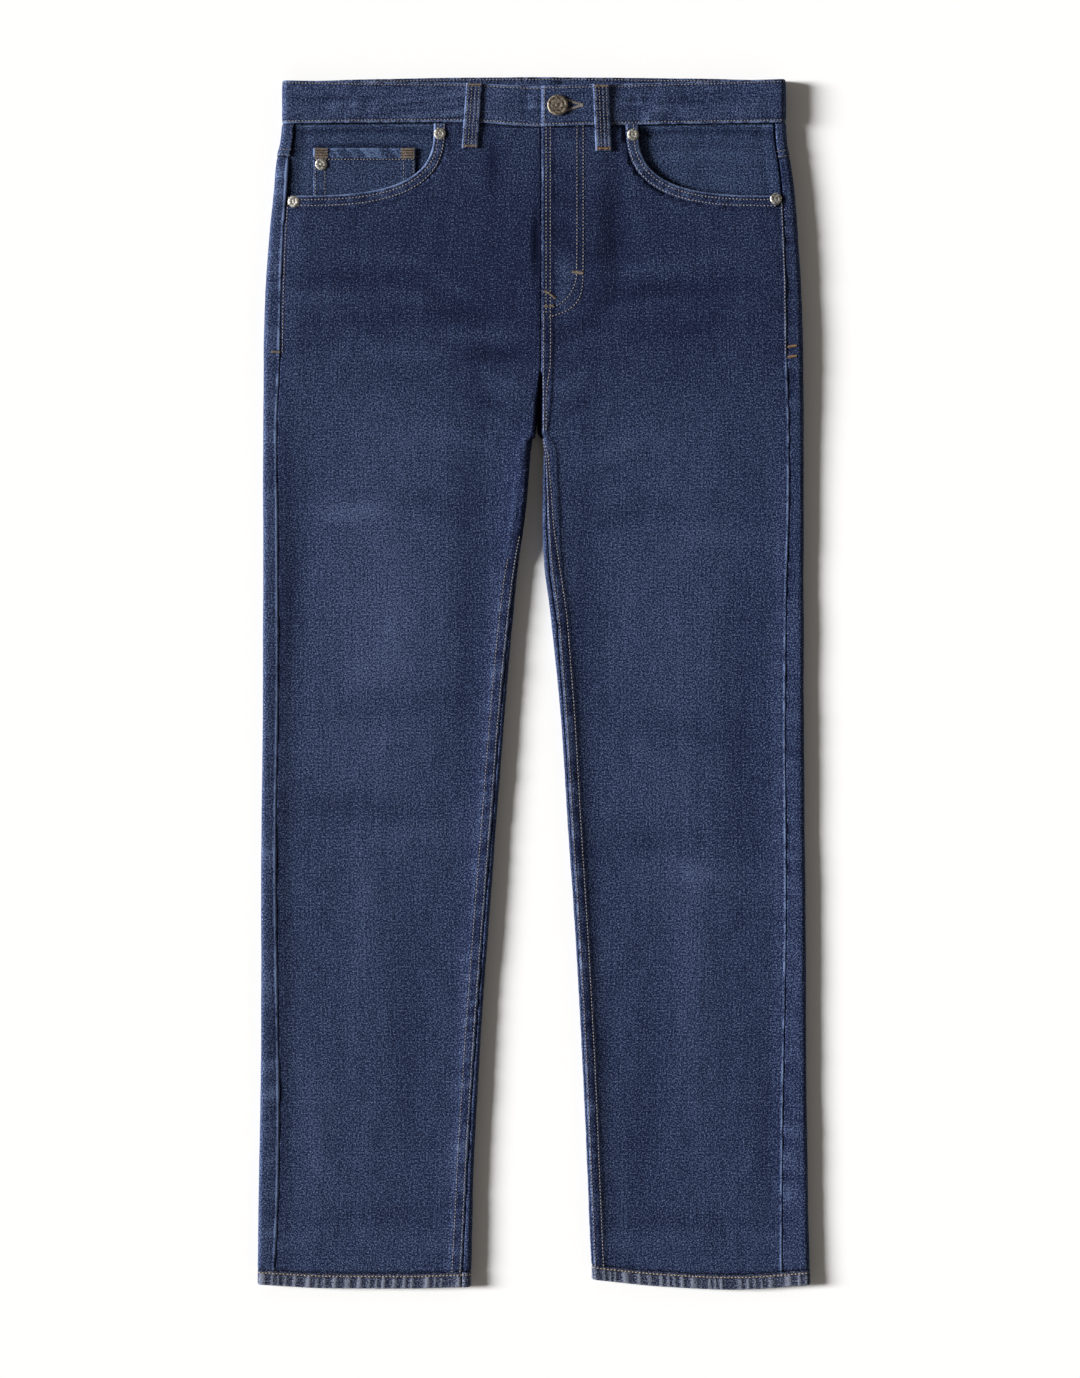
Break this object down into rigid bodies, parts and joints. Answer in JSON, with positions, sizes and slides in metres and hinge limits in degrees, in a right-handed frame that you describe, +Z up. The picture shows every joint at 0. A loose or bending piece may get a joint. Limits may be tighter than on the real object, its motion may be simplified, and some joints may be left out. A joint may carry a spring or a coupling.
{
  "type": "straight leg jeans",
  "caption": "Straight leg denim jeans laid flat, front up: buttoned waistband with belt loops, scooped front pockets, coin pocket, fly, back yoke, patch pockets and turned hems.",
  "frame": {"origin": "middle of the surface the jeans lie on, under the middle of their outline", "axes": "+Z up out of the garment's front, +Y from the hems to the waistband, +X to the wearer's left"},
  "size_m": [0.4861, 1.0672, 0.016],
  "materials": {
    "denim": "indigo twill, washed",
    "worn_denim": "indigo twill, worn paler",
    "old_brass": "darkened"
  },
  "bodies": {
    "root": {"right_front": "denim", "left_front": "denim", "right_back": "denim", "left_back": "denim", "right_yoke": "denim", "left_yoke": "denim", "fly_facing": "denim", "fly_shield": "denim", "right_hem": "denim", "left_hem": "denim", "right_back_pocket": "denim", "left_back_pocket": "denim", "waistband": "worn_denim", "right_pocket_facing": "worn_denim", "left_pocket_facing": "worn_denim", "coin_pocket": "worn_denim", "front_loop_right": "worn_denim", "front_loop_left": "worn_denim", "back_loop_right": "worn_denim", "back_loop_centre": "worn_denim", "back_loop_left": "worn_denim", "tack_button": "old_brass", "rivet_right_mouth": "old_brass", "rivet_right_side": "old_brass", "rivet_coin": "old_brass", "rivet_left_mouth": "old_brass", "rivet_left_side": "old_brass"}
  },
  "joints": []
}
